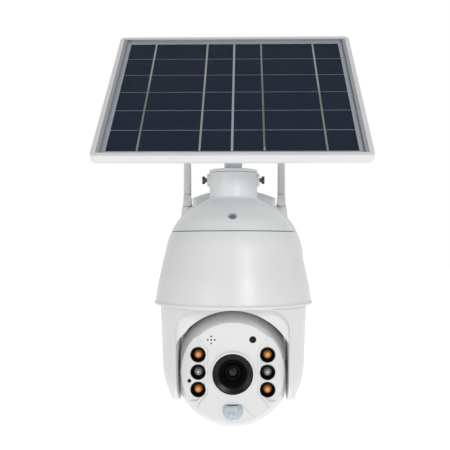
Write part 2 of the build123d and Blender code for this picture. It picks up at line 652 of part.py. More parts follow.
with BuildPart() as pan_spindle:
    rods(level(DECK_Z), [(0, 0)], 22, 2.6)
    rods(level(DECK_Z), [(0, 0)], SPINDLE_R, 24)
    rods(level(PAN_GEAR_Z + GEAR_W), [(0, 0)], 17, 2.4)
    rods(level(DECK_Z), [(0, 0)], BORE_R, 30, mode=Mode.SUBTRACT)
export(pan_spindle.part, "pan_spindle")

# ---------------------------------------------------------------- tilt drive in the right arm
TILT_TEETH = 36
TILT_CENTRE = (TILT_TEETH + PINION_TEETH) / 2
TILT_GEAR_X = 57.0
TILT_MOTOR_X = 62.2
WEB_HOLES = [(11 * cos(i * pi / 3), 11 * sin(i * pi / 3)) for i in range(6)]

with BuildPart() as tilt_gear:
    prism(gear_outline(TILT_TEETH, 1.0, 0), side_plane(TILT_GEAR_X), GEAR_W)
    rods(side_plane(TILT_GEAR_X), [(0, 0)], SHAFT_R, GEAR_W, mode=Mode.SUBTRACT)
    rods(side_plane(TILT_GEAR_X), WEB_HOLES, 2.6, GEAR_W, mode=Mode.SUBTRACT)
export(tilt_gear.part, "tilt_gear")

with BuildPart() as tilt_pinion:
    centre = Plane(origin=(TILT_GEAR_X - 0.3, AXIS_Y, TILT_Z + TILT_CENTRE), x_dir=(0, 1, 0), z_dir=(1, 0, 0))
    prism(gear_outline(PINION_TEETH, 1.0, 180.0 / PINION_TEETH), centre, GEAR_W + 0.6)
    rods(centre, [(0, 0)], 1.0 + FIT, GEAR_W + 2, mode=Mode.SUBTRACT)
export(tilt_pinion.part, "tilt_pinion")

with BuildPart() as tilt_motor:
    centre = Plane(origin=(TILT_MOTOR_X, AXIS_Y, TILT_Z + TILT_CENTRE), x_dir=(0, 1, 0), z_dir=(1, 0, 0))
    rods(centre, [(0, 0)], 7.5, 7.0)
    rods(centre, [(0, 0)], 1.0, TILT_GEAR_X - TILT_MOTOR_X)
    blocks(centre, [(0, 0)], 25, 4.4, 0.8, corner=2)
    blocks(centre.offset(2), [(0, 7.4)], 8, 4, 4)
export(tilt_motor.part, "tilt_motor")

with BuildPart() as trunnions:
    for side in (-1, 1):
        inner = Plane(origin=(side * (FLAT_X - 4.6), AXIS_Y, TILT_Z), x_dir=(0, 1, 0), z_dir=(side, 0, 0))
        rods(inner, [(0, 0)], 10, 2)
        rods(inner, [(0, 0)], SHAFT_R, TILT_GEAR_X + GEAR_W - FLAT_X + 4.6)
        rods(inner, [(0, 0)], 3.4, 30, mode=Mode.SUBTRACT)
export(trunnions.part, "trunnions")

# ---------------------------------------------------------------- head shell and face
HEAD_WALL = 2.6
FACE_TOP = FACE_F + FACE_T
BAY_DEPTH = 1.4
PANEL_UP = 1.2
LEDS = [(x * LED_X, row * LED_PITCH) for x in (-1, 1) for row in (-1, 0, 1)]
PIR_SPOT = (0, -37.0)
PIR_R = 9.7
NOTCH_R = 30.6          # rim around the lens that overlaps the motion sensor
MIC_SPOT = (-21.0, 31.9)
MIC_STEP = 3.4
MIC_HOLES = [(MIC_SPOT[0] + dx * MIC_STEP, MIC_SPOT[1] + dy * MIC_STEP)
             for dx, dy in ((0, 0), (1, 0), (-1, 0), (0, 1), (0, -1))]
SENSOR_SPOT = (19.5, 32.3)
STATUS_SPOT = (-42.6, -8.6)
LENS_OUT = 20.0
LENS_IN = 14.6
LED_R = 4.2
CUP_R = 7.6
CUP_F = 23.0
MIC_R = 0.85
SENSOR_R = 3.4
STATUS_R = 1.95
EDGE = 60.0             # beyond the edge of the face
SERVICE = Plane(origin=(0, AXIS_Y + 14, TILT_Z), x_dir=(1, 0, 0), z_dir=(0, 0, -1))
SERVICE_W = 34.0
SERVICE_H = 13.0
SPEAKER_SPOT = (0, -8)


def ball(r, flat, mode=Mode.ADD):
    """Ball with two flat sides, turned about the tilt axis."""
    rim = (r ** 2 - flat ** 2) ** 0.5
    with BuildSketch(Plane(origin=HEAD.origin, x_dir=(1, 0, 0), z_dir=(0, 1, 0))) as half:
        with BuildLine():
            ThreePointArc((-flat, rim), (0, r), (flat, rim))
            Polyline((flat, rim), (flat, 0), (-flat, 0), (-flat, rim))
        make_face()
    revolve(half.sketch, axis=TILT_AXIS, mode=mode)


with BuildPart() as head_shell:
    ball(BALL_R, FLAT_X)
    ball(BALL_R - HEAD_WALL, FLAT_X - HEAD_WALL, Mode.SUBTRACT)
    blocks(HEAD.offset(FACE_F), [(0, 0)], 200, 200, 60, mode=Mode.SUBTRACT)
    rods(side_plane(-FLAT_X - 1), [(0, 0)], SHAFT_R, 2 * FLAT_X + 2, mode=Mode.SUBTRACT)
    blocks(SERVICE.offset(30), [(0, 0)], SERVICE_W, SERVICE_H, 40, corner=3, mode=Mode.SUBTRACT)
    grille = [SPEAKER_SPOT]
    for ring, count in ((4.2, 6), (8.4, 12)):
        for i in range(count):
            a = 2 * pi * i / count
            grille.append((SPEAKER_SPOT[0] + ring * cos(a), SPEAKER_SPOT[1] + ring * sin(a)))
    rods(HEAD.offset(-30), grille, 1.1, -40, mode=Mode.SUBTRACT)
export(head_shell.part, "head_shell")

with BuildPart() as face_plate:
    rods(HEAD.offset(FACE_F), [(0, 0)], 52, FACE_T)
    prism([(-35, 36), (-24.7, 22), (-24.7, -20), (-33, -30), (-40, -52), (40, -52), (33, -30), (24.7, -20),
           (24.7, 22), (35, 36), (40, 52), (-40, 52)], HEAD.offset(FACE_TOP), PANEL_UP, taper=30)
    for side in (-1, 1):
        prism([(side * 27.2, 21), (side * 37, 34), (side * 60, 34), (side * 60, -28), (side * 35, -28),
               (side * 27.2, -19)], HEAD.offset(FACE_TOP), -BAY_DEPTH, mode=Mode.SUBTRACT)
    rods(LENS_FRONT.offset(FACE_TOP), [(0, 0)], LENS_OUT + 1.7, PANEL_UP + 1.6)
    prism([(-9, -31), (9, -31), (23, -45), (30, -60), (-30, -60), (-23, -45)], HEAD.offset(FACE_TOP), 3,
          mode=Mode.SUBTRACT)
    ball(BALL_R, 59, Mode.INTERSECT)
    rods(LENS_FRONT, [(0, 0)], LENS_OUT, EDGE, mode=Mode.SUBTRACT)
    rods(HEAD, LEDS, CUP_R, EDGE, mode=Mode.SUBTRACT)
    with BuildSketch(HEAD) as sensor_hole:
        with Locations(PIR_SPOT):
            Circle(PIR_R)
        with Locations((0, LENS_DZ)):
            Circle(NOTCH_R, mode=Mode.SUBTRACT)
    extrude(sensor_hole.sketch, amount=60, mode=Mode.SUBTRACT)
    rods(HEAD, MIC_HOLES, MIC_R, EDGE, mode=Mode.SUBTRACT)
    rods(HEAD, [SENSOR_SPOT], SENSOR_R, EDGE, mode=Mode.SUBTRACT)
    rods(HEAD, [STATUS_SPOT], STATUS_R, EDGE, mode=Mode.SUBTRACT)
export(face_plate.part, "face_plate")

# ---------------------------------------------------------------- lens
with BuildPart() as lens_bezel:
    spin([(LENS_IN, FACE_F), (LENS_OUT, FACE_F), (LENS_OUT, 35.9), (18.8, 36.2), (LENS_IN, 34.6)],
         LENS_SIDE, LENS_AXIS)
export(lens_bezel.part, "lens_bezel")

with BuildPart() as lens_shroud:
    spin([(LENS_IN, 31.4), (LENS_IN, 34.3), (13.7, 34.3), (8.0, 25.0), (8.0, 20.0), (9.6, 20.0), (9.6, 24.2)],
         LENS_SIDE, LENS_AXIS)
export(lens_shroud.part, "lens_shroud")

with BuildPart() as lens_barrel:
    spin([(4.8, 3.0), (7.8, 3.0), (7.8, 27.4), (7.2, 28.0), (6.0, 28.0), (4.8, 25.6)], LENS_SIDE, LENS_AXIS)
    for i in range(5):
        spin([(7.4, 5 + 1.6 * i), (8.2, 5 + 1.6 * i), (8.2, 5.7 + 1.6 * i), (7.4, 5.7 + 1.6 * i)], LENS_SIDE,
             LENS_AXIS, Mode.SUBTRACT)
export(lens_barrel.part, "lens_barrel")

with BuildPart() as lens_elements:
    dome = [(4.8 * sin(radians(15 * i)), 24.0 + 1.5 * cos(radians(15 * i))) for i in range(7)]
    spin([(0, 22.8)] + dome + [(4.8, 22.8)], LENS_SIDE, LENS_AXIS)
    for f in (17.0, 12.5, 8.0):
        spin([(0, f - 0.6), (4.8, f), (4.8, f + 1.4), (0, f + 2.2)], LENS_SIDE, LENS_AXIS)
export(lens_elements.part, "lens_elements")

with BuildPart() as sensor_board:
    blocks(LENS_FRONT.offset(-BOARD_T), [(0, 0)], 38, 38, BOARD_T, corner=2)
    blocks(LENS_FRONT, [(0, 0)], 7, 6, 1.2)
    blocks(LENS_FRONT, [(-14, 10), (13, -12)], 6, 5, 1.4)
    blocks(LENS_FRONT, [(0, 0)], 19, 19, 11, corner=2)
    rods(LENS_FRONT.offset(1.2), [(0, 0)], 7.8, 10, mode=Mode.SUBTRACT)
export(sensor_board.part, "sensor_board")

# ---------------------------------------------------------------- lights and sensors in the face
with BuildPart() as led_cups:
    for x, z in LEDS:
        seat = Plane(origin=(x, AXIS_Y, TILT_Z + z), x_dir=(0, 0, 1), z_dir=(1, 0, 0))
        spin([(0, CUP_F), (CUP_R, CUP_F), (CUP_R, 33.0), (6.8, 33.2), (4.9, CUP_F + 1), (0, CUP_F + 1)], seat,
             Axis((x, AXIS_Y, TILT_Z + z), (0, -1, 0)))
export(led_cups.part, "led_cups")


LED_STEM = 4.4


def leds(spots):
    """Domed light-emitting diodes seated in their cups."""
    with BuildPart() as group:
        rods(HEAD.offset(CUP_F + 1), spots, LED_R, LED_STEM)
        for x, z in spots:
            with Locations((x, AXIS_Y - CUP_F - 1 - LED_STEM, TILT_Z + z)):
                Sphere(LED_R)
    return group.part


export(leds([spot for spot in LEDS if spot[1] != 0]), "amber_leds")
export(leds([spot for spot in LEDS if spot[1] == 0]), "clear_leds")

with BuildPart() as led_boards:
    blocks(HEAD.offset(CUP_F - 0.2 - BOARD_T), [(-LED_X, 0), (LED_X, 0)], 17, 52, BOARD_T, corner=2)
export(led_boards.part, "led_boards")

with BuildPart() as pir_lens:
    pir_side = Plane(origin=(PIR_SPOT[0], AXIS_Y, TILT_Z + PIR_SPOT[1]), x_dir=(0, 0, 1), z_dir=(1, 0, 0))
    pir_axis = Axis((PIR_SPOT[0], AXIS_Y, TILT_Z + PIR_SPOT[1]), (0, -1, 0))
    outer = [(PIR_R * sin(radians(10 * i)), 34.0 + 4.6 * cos(radians(10 * i))) for i in range(10)]
    inner = [((PIR_R - 1.1) * sin(radians(10 * i)), 33.2 + 4.4 * cos(radians(10 * i))) for i in range(10)]
    spin([(0, FACE_F)] + outer + [(PIR_R, FACE_F)], pir_side, pir_axis)
    spin([(0, FACE_F - 1)] + inner + [(PIR_R - 1.1, FACE_F - 1)], pir_side, pir_axis, Mode.SUBTRACT)
    rods(LENS_FRONT, [(0, 0)], NOTCH_R, EDGE, mode=Mode.SUBTRACT)
    ball(BALL_R - 0.2, 59, Mode.INTERSECT)
export(pir_lens.part, "pir_lens")

with BuildPart() as light_sensor_window:
    rods(HEAD.offset(FACE_F), [SENSOR_SPOT], SENSOR_R, 3.6)
    rods(HEAD.offset(FACE_F), [STATUS_SPOT], STATUS_R, 0.8)
export(light_sensor_window.part, "light_sensor_window")

# ---------------------------------------------------------------- speaker and service parts of the head
with BuildPart() as speaker:
    rods(HEAD.offset(-50.5), [SPEAKER_SPOT], 14, 3)
    rods(HEAD.offset(-47.5), [SPEAKER_SPOT], 10, 4, taper=8)
    rods(HEAD.offset(-50.5), [SPEAKER_SPOT], 11.5, 1.2, mode=Mode.SUBTRACT)
export(speaker.part, "speaker")

with BuildPart() as service_plug:
    ball(BALL_R, FLAT_X)
    ball(BALL_R - HEAD_WALL, FLAT_X, Mode.SUBTRACT)
    blocks(SERVICE.offset(30), [(0, 0)], SERVICE_W - 0.3, SERVICE_H - 0.3, 40, corner=2.9,
           mode=Mode.INTERSECT)
    rods(SERVICE.offset(66), [(-SERVICE_W / 2 + 5, 0)], 2.4, -12.2, mode=Mode.SUBTRACT)
export(service_plug.part, "service_plug")

BUTTON_R = 1.75
POWER_X = -11.0
RESET_X = -3.0
CARD_X = 8.0

with BuildPart() as service_board:
    blocks(SERVICE.offset(46.4), [(0, 0)], 32, 11, BOARD_T, corner=1)
    blocks(SERVICE.offset(48), [(POWER_X, 0), (RESET_X, 0)], 6, 6, 3.4)
    blocks(SERVICE.offset(40), [(CARD_X, 0)], 14, 3.4, 12)
    rods(SERVICE.offset(49.4), [(POWER_X, 0), (RESET_X, 0)], BUTTON_R + FIT, 4, mode=Mode.SUBTRACT)
    blocks(SERVICE.offset(40.6), [(CARD_X, 0)], 11.4, 1.3, 14, mode=Mode.SUBTRACT)
export(service_board.part, "service_board")

with BuildPart() as memory_card:
    blocks(SERVICE.offset(40.6), [(CARD_X, 0)], 11, 0.9, 12.2)
export(memory_card.part, "memory_card")

for name, x in (("power_button", POWER_X), ("reset_button", RESET_X)):
    with BuildPart() as button:
        rods(SERVICE.offset(50.4), [(x, 0)], BUTTON_R, 2.4)
    export(button.part, name)

# ---------------------------------------------------------------- post under the panel
PIN_BOLT_R = 3.0
KNUCKLE_R = 8.8

with BuildPart() as swivel_plug:
    rods(level(PLUG_BOTTOM), [(0, 0)], PLUG_R, NECK_TOP + 1 - PLUG_BOTTOM)
    rods(level(NECK_TOP + GAP), [(0, 0)], NECK_R + 0.2, CAP_H)
    chamfer(swivel_plug.edges().filter_by(GeomType.CIRCLE).sort_by(Axis.Z)[-1:], 0.5)
    rods(level(PLUG_BOTTOM), [(0, 0)], 4, 60, mode=Mode.SUBTRACT)
export(swivel_plug.part, "swivel_plug")

HINGE_SIDE = Plane(origin=(-POST_W / 2, AXIS_Y, HINGE_Z), x_dir=(0, 1, 0), z_dir=(1, 0, 0))
POST_FOOT = NECK_TOP + GAP + CAP_H

with BuildPart() as post:
    blocks(level(POST_FOOT), [(0, 0)], POST_W, POST_W - 0.4, HINGE_Z - POST_FOOT, corner=1.6)
    rods(HINGE_SIDE, [(0, 0)], KNUCKLE_R, POST_W)
    blocks(level(POST_FOOT), [(0, 0)], 8, 8, HINGE_Z - POST_FOOT - 14, mode=Mode.SUBTRACT)
    rods(HINGE_SIDE, [(0, 0)], PIN_BOLT_R + FIT, POST_W, mode=Mode.SUBTRACT)
export(post.part, "post")

# ---------------------------------------------------------------- panel bracket
EAR_GAP = 0.6
EAR_T = 4.0
PLATE_TOP = -4.2        # underside of the laminate in the panel's own depth
BRACKET_T = 4.0
hinge_local = PANEL.to_local_coords(Vector(0, AXIS_Y, HINGE_Z))
EAR_PLANE = Plane(origin=PANEL.origin, x_dir=PANEL.y_dir, z_dir=PANEL.x_dir)
EAR_X = POST_W / 2 + EAR_GAP
BRACKET_SCREWS = [(x * 44, hinge_local.Y + y * 24) for x in (-1, 1) for y in (-1, 1)]

with BuildPart() as panel_bracket:
    blocks(PANEL.offset(PLATE_TOP - BRACKET_T), [(0, hinge_local.Y)], 104, 64, BRACKET_T, corner=8)
    for x in (-EAR_X - EAR_T, EAR_X):
        prism([(hinge_local.Y - 20, PLATE_TOP - 1), (hinge_local.Y - KNUCKLE_R, hinge_local.Z),
               (hinge_local.Y + KNUCKLE_R, hinge_local.Z), (hinge_local.Y + 20, PLATE_TOP - 1)],
              EAR_PLANE.offset(x), EAR_T)
        rods(EAR_PLANE.offset(x), [(hinge_local.Y, hinge_local.Z)], KNUCKLE_R, EAR_T)
        rods(EAR_PLANE.offset(x), [(hinge_local.Y, hinge_local.Z)], PIN_BOLT_R, EAR_T, mode=Mode.SUBTRACT)
    rods(PANEL.offset(PLATE_TOP - BRACKET_T), BRACKET_SCREWS, 1.6, BRACKET_T, mode=Mode.SUBTRACT)
export(panel_bracket.part, "panel_bracket")

with BuildPart() as bracket_screws:
    under = Plane(origin=PANEL.offset(PLATE_TOP - BRACKET_T).origin, x_dir=PANEL.x_dir, z_dir=-PANEL.z_dir)
    screw(under, [(x, -y) for x, y in BRACKET_SCREWS], 1.5, BRACKET_T - 0.1, 3.2, 2.0)
export(bracket_screws.part, "bracket_screws")

with BuildPart() as tilt_bolt:
    start = EAR_PLANE.offset(-EAR_X - EAR_T)
    spot = [(hinge_local.Y, hinge_local.Z)]
    length = 2 * (EAR_X + EAR_T)
    rods(start, spot, PIN_BOLT_R, length + 7)
    with BuildSketch(start.offset(-3.4)) as hex_head:
        with Locations(*spot):
            RegularPolygon(5.6, 6)
    extrude(hex_head.sketch, amount=3.4)
    rods(start.offset(length), spot, 5.6, 5)
    blocks(start.offset(length + 1.2), spot, 24, 4, 3.8, corner=1.9)
export(tilt_bolt.part, "tilt_bolt")

# ---------------------------------------------------------------- solar panel
LIP_W = 5.0
LIP_T = 1.0
FLANGE_T = 1.6
FRAME_ROUND = 4.2       # rounding under the frame
FRAME_EDGE = 1.4
GLASS_T = 2.2
CELL_T = 0.3
BAR_T = 0.12
SEAL_W = 3.2
CLEAR = 2.6             # laminate stands this far in from the frame's outside
COLUMNS = 2
ROWS = 6
CELL_GAP_X = 2.2
CELL_GAP_Y = 1.0
CELL_W = (PANEL_W * 0.9 - CELL_GAP_X) / COLUMNS
CELL_PITCH = PANEL_L / 6.66
CELL_H = CELL_PITCH - CELL_GAP_Y
cell_x = [(i - (COLUMNS - 1) / 2) * (CELL_W + CELL_GAP_X) for i in range(COLUMNS)]
cell_y = [(j - (ROWS - 1) / 2) * CELL_PITCH for j in range(ROWS)]

with BuildPart() as panel_frame:
    blocks(PANEL.offset(-PANEL_T), [(0, 0)], PANEL_W, PANEL_L, PANEL_T, corner=6)
    wide_faces = panel_frame.faces().sort_by(SortBy.AREA)[-2:].sort_by(Axis.Z)
    fillet(wide_faces[0].edges(), FRAME_ROUND)
    fillet(panel_frame.faces().sort_by(SortBy.AREA)[-1].edges(), FRAME_EDGE)
    blocks(PANEL.offset(-PANEL_T - 1), [(0, 0)], PANEL_W - 2 * RAIL - 6, PANEL_L - 2 * RAIL - 6, PANEL_T + 2,
           mode=Mode.SUBTRACT)
    blocks(PANEL.offset(-LIP_T), [(0, 0)], PANEL_W - 2 * LIP_W, PANEL_L - 2 * LIP_W, 5, corner=1,
           mode=Mode.SUBTRACT)
    blocks(PANEL.offset(-PANEL_T + FLANGE_T), [(0, 0)], PANEL_W - 2 * CLEAR, PANEL_L - 2 * CLEAR,
           PANEL_T - FLANGE_T - LIP_T, mode=Mode.SUBTRACT)
export(panel_frame.part, "panel_frame")

laminate_w = PANEL_W - 2 * CLEAR - 0.6
laminate_l = PANEL_L - 2 * CLEAR - 0.6
glass_low = -LIP_T - GLASS_T

with BuildPart() as panel_glass:
    blocks(PANEL.offset(glass_low), [(0, 0)], laminate_w, laminate_l, GLASS_T)
export(panel_glass.part, "panel_glass")

with BuildPart() as panel_seal:
    seal_x = PANEL_W / 2 - LIP_W - SEAL_W / 2
    blocks(PANEL.offset(-LIP_T), [(-seal_x, 0), (seal_x, 0)], SEAL_W, PANEL_L - 2 * LIP_W - 2, 0.5)
export(panel_seal.part, "panel_seal")

with BuildPart() as cell_busbars:
    bars = [(x + side * CELL_W / 4, 0) for x in cell_x for side in (-1, 1)]
    blocks(PANEL.offset(glass_low - BAR_T), bars, 1.8, ROWS * CELL_PITCH - CELL_GAP_Y, BAR_T)
export(cell_busbars.part, "cell_busbars")

with BuildPart() as solar_cells:
    blocks(PANEL.offset(glass_low - BAR_T - CELL_T), [(x, y) for x in cell_x for y in cell_y], CELL_W, CELL_H,
           CELL_T)
export(solar_cells.part, "solar_cells")

with BuildPart() as back_sheet:
    blocks(PANEL.offset(PLATE_TOP), [(0, 0)], laminate_w, laminate_l, glass_low - BAR_T - CELL_T - PLATE_TOP)
export(back_sheet.part, "back_sheet")

BOX_Y = 62.0
BOX_LOW = -18.0
BOX_W = 62.0
BOX_H = 44.0
BOX_WALL = 2.0
GLAND_SPOT = (0, BOX_Y + 10)
GLAND_R = 3.6
GLAND_BORE = 2.2

with BuildPart() as junction_box:
    blocks(PANEL.offset(BOX_LOW), [(0, BOX_Y)], BOX_W, BOX_H, PLATE_TOP - BOX_LOW, corner=4)
    blocks(PANEL.offset(BOX_LOW + 1.6), [(0, BOX_Y)], BOX_W - 2 * BOX_WALL, BOX_H - 2 * BOX_WALL, 20,
           corner=3, mode=Mode.SUBTRACT)
    rods(PANEL.offset(BOX_LOW - 1), [GLAND_SPOT], GLAND_R, 4, mode=Mode.SUBTRACT)
export(junction_box.part, "junction_box")

with BuildPart() as panel_gland:
    gland = Plane(origin=PANEL.from_local_coords(Vector(*GLAND_SPOT, BOX_LOW)), x_dir=PANEL.x_dir,
                  z_dir=-PANEL.z_dir)
    rods(gland, [(0, 0)], GLAND_R, -2)
    with BuildSketch(gland) as nut:
        RegularPolygon(5.4, 6)
    extrude(nut.sketch, amount=3)
    rods(gland.offset(3), [(0, 0)], 4.6, 5, taper=6)
    rods(gland.offset(-3), [(0, 0)], GLAND_BORE, 12, mode=Mode.SUBTRACT)
export(panel_gland.part, "panel_gland")
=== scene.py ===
import bpy
import math
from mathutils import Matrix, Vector

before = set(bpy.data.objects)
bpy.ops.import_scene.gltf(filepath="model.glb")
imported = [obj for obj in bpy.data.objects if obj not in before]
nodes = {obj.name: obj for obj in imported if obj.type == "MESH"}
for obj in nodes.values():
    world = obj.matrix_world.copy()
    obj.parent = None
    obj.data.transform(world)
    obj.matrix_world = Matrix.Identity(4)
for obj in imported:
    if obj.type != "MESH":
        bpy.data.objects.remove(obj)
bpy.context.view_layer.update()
scene = bpy.context.scene

# ------------------------------------------------------------------ sizes shared with the CAD (metres)
AXIS_Y = -0.098
PANEL_TILT = math.radians(45.3)
PANEL_CENTRE = Vector((0.0, -0.107, 0.1763))
SLOPE = Vector((0.0, math.cos(PANEL_TILT), math.sin(PANEL_TILT)))
RIGHT = Vector((1, 0, 0))
UP = Vector((0, 0, 1))
LENS = Vector((0.0, AXIS_Y, -0.1079))
FACE = Vector((0.0, AXIS_Y, -0.1065))
LED_X = 0.034
LED_PITCH = 0.017
LED_DOME_R = 0.0045


# ------------------------------------------------------------------ material helpers
MID_RAMP = 0.5
CLOUD_SCALE = 18.0
SMEAR_SCALE = 140.0
GRAIN_SCALE = 900.0
STREAK_SCALE = 700.0
WEAR_DARK = 0.06
WEAR_LIGHT = WEAR_DARK * 0.4
METAL_SHADE = 0.8
TRACE_SCALE = 420.0
TRACE_TURNS = 9.0
TRACE_EDGE = 0.6
PAD_SCALE = 300.0
PAD_EDGE = 0.66


class Shader:
    """A Principled material in object coordinates, with helpers for its nodes."""

    def __init__(self, name):
        self.material = bpy.data.materials.new(name)
        self.material.use_nodes = True
        self.tree = self.material.node_tree
        self.bsdf = self.tree.nodes["Principled BSDF"]
        self.place = self.node("ShaderNodeTexCoord").outputs["Object"]

    def node(self, kind, **inputs):
        made = self.tree.nodes.new(kind)
        for key, value in inputs.items():
            made.inputs[key.replace("_", " ")].default_value = value
        return made

    def link(self, output, target):
        self.tree.links.new(output, target)

    def noise(self, scale, detail=3.0, source=None):
        made = self.node("ShaderNodeTexNoise", Scale=scale, Detail=detail)
        self.link(source or self.place, made.inputs["Vector"])
        return made.outputs["Fac"]

    def spread(self, value, low, high):
        made = self.node("ShaderNodeMapRange", To_Min=low, To_Max=high)
        self.link(value, made.inputs["Value"])
        return made.outputs["Result"]

    def math(self, operation, a, b=None):
        made = self.tree.nodes.new("ShaderNodeMath")
        made.operation = operation
        for socket, value in zip(made.inputs, (a, b)):
            if value is None:
                continue
            if isinstance(value, (int, float)):
                socket.default_value = value
            else:
                self.link(value, socket)
        return made.outputs["Value"]

    def along(self, direction, origin):
        """Distance along a direction, from an origin, in metres."""
        shift = self.tree.nodes.new("ShaderNodeVectorMath")
        shift.operation = "SUBTRACT"
        self.link(self.place, shift.inputs[0])
        shift.inputs[1].default_value = origin
        dot = self.tree.nodes.new("ShaderNodeVectorMath")
        dot.operation = "DOT_PRODUCT"
        self.link(shift.outputs["Vector"], dot.inputs[0])
        dot.inputs[1].default_value = direction
        return dot.outputs["Value"]

    def length(self, x, z):
        """Length of a flat vector."""
        squares = self.math("MULTIPLY", x, x), self.math("MULTIPLY", z, z)
        return self.math("SQRT", self.math("ADD", *squares))

    def radius(self, centre):
        """Distance from an axis through the centre along Y."""
        return self.length(self.along(RIGHT, centre), self.along(UP, centre))

    def mix(self, factor, a, b):
        """Colour mix; a and b are colours or outputs."""
        made = self.tree.nodes.new("ShaderNodeMix")
        made.data_type = "RGBA"
        for key, value in (("Factor", factor), ("A", a), ("B", b)):
            socket = [s for s in made.inputs if s.name == key and s.enabled][0]
            if hasattr(value, "is_output"):
                self.link(value, socket)
            else:
                socket.default_value = (*value, 1.0)
        return [s for s in made.outputs if s.enabled][0]

    def ramp(self, value, stops):
        """Colour ramp; stops are (place, colour)."""
        made = self.tree.nodes.new("ShaderNodeValToRGB")
        self.link(value, made.inputs["Fac"])
        elements = made.color_ramp.elements
        while len(elements) < len(stops):
            elements.new(MID_RAMP)
        for element, (place, colour) in zip(elements, stops):
            element.position = place
            element.color = (*colour, 1.0)
        return made.outputs["Color"]

    def bump(self, height, distance):
        """Bump in metres, on top of any normal already linked."""
        made = self.node("ShaderNodeBump", Distance=distance, Strength=1.0)
        self.link(height, made.inputs["Height"])
        current = self.bsdf.inputs["Normal"]
        if current.links:
            self.link(current.links[0].from_socket, made.inputs["Normal"])
        self.link(made.outputs["Normal"], current)

    def set(self, **inputs):
        for key, value in inputs.items():
            socket = self.bsdf.inputs[key.replace("_", " ")]
            if hasattr(value, "is_output"):
                self.link(value, socket)
            elif socket.type == "RGBA":
                socket.default_value = (*value, 1.0)
            else:
                socket.default_value = value


def moulded(name, colour, rough=0.4, grain=GRAIN_SCALE, depth=0.00002, round_edges=0.0004,
            **extra):
    """Moulded plastic, rubber or painted metal: cloudy colour, fine grain and softened edges."""
    s = Shader(name)
    darker = [c * (1 - WEAR_DARK) for c in colour]
    lighter = [c * (1 + WEAR_LIGHT) for c in colour]
    s.set(Base_Color=s.mix(s.noise(CLOUD_SCALE, 4.0), darker, lighter))
    s.set(Roughness=s.spread(s.noise(SMEAR_SCALE), rough - 0.05, rough + 0.07))
    bevel = s.node("ShaderNodeBevel", Radius=round_edges)
    s.link(bevel.outputs["Normal"], s.bsdf.inputs["Normal"])
    s.bump(s.noise(grain, 2.0), depth)
    s.set(**extra)
    return s


def metal(name, colour, rough=0.3, stretch=(1, 1, 1)):
    """Brushed or plated metal."""
    s = Shader(name)
    mapping = s.tree.nodes.new("ShaderNodeMapping")
    mapping.inputs["Scale"].default_value = stretch
    s.link(s.place, mapping.inputs["Vector"])
    streaks = s.noise(STREAK_SCALE, source=mapping.outputs["Vector"])
    s.set(Base_Color=s.mix(streaks, [c * METAL_SHADE for c in colour], colour), Metallic=1.0)
    s.set(Roughness=s.spread(streaks, rough - 0.08, rough + 0.1))
    s.bump(streaks, 0.00001)
    return s


def board(name):
    """Circuit board with traces and pads."""
    s = Shader(name)
    cells = s.node("ShaderNodeTexVoronoi", Scale=TRACE_SCALE)
    s.link(s.place, cells.inputs["Vector"])
    wave = s.math("SINE", s.math("MULTIPLY", cells.outputs["Distance"], TRACE_TURNS))
    traces = s.math("GREATER_THAN", wave, TRACE_EDGE)
    lacquer = s.mix(traces, (0.008, 0.075, 0.03), (0.02, 0.16, 0.06))
    pads = s.math("GREATER_THAN", s.noise(PAD_SCALE), PAD_EDGE)
    s.set(Base_Color=s.mix(pads, lacquer, (0.55, 0.48, 0.3)))
    s.set(Roughness=s.spread(s.noise(200.0), 0.3, 0.5))
    s.bump(traces, 0.00003)
    return s


# ------------------------------------------------------------------ materials
WHITE = (0.665, 0.672, 0.668)
white = moulded("white_moulding", WHITE, 0.34, Specular_IOR_Level=0.45)
frame_paint = moulded("frame_paint", (0.62, 0.625, 0.63), 0.33, grain=1600.0, depth=0.00001,
                      round_edges=0.0008)
rubber = moulded("grey_rubber", (0.10, 0.105, 0.11), 0.65, depth=0.00003)
seal = moulded("panel_seal", (0.30, 0.305, 0.32), 0.6, depth=0.00002)
black_rubber = moulded("black_rubber", (0.02, 0.02, 0.022), 0.6, depth=0.00003)
black = moulded("black_plastic", (0.012, 0.012, 0.013), 0.42)
gloss = moulded("black_gloss", (0.004, 0.004, 0.0045), 0.3, grain=2500.0, depth=0.000003,
                Specular_IOR_Level=0.2)
grey = moulded("grey_plastic", (0.22, 0.225, 0.235), 0.4)
acetal = moulded("acetal", (0.74, 0.72, 0.66), 0.35, Subsurface_Weight=0.1,
                 Subsurface_Scale=0.002)
wrap = moulded("cell_wrap", (0.05, 0.22, 0.45), 0.25)
screw = metal("screw_metal", (0.42, 0.43, 0.44), 0.32)
dark_screw = metal("dark_screw_metal", (0.10, 0.10, 0.105), 0.3)
zinc = metal("zinc_can", (0.62, 0.62, 0.61), 0.35, (1, 1, 8))
green = board("circuit_board")


FINGER_PITCH = 0.0021
FINGER_SHARE = 0.06
FINGER_TINT = 0.16
CELL_DARK = (0.0060, 0.0100, 0.0200)
CELL_LIGHT = (0.012, 0.018, 0.034)
GLASS_ALPHA = 0.12
COATING_RINGS = 420.0
TURNED_RINGS = 9000.0
FACET_SCALE = 330.0
SPECKLE = 0.3


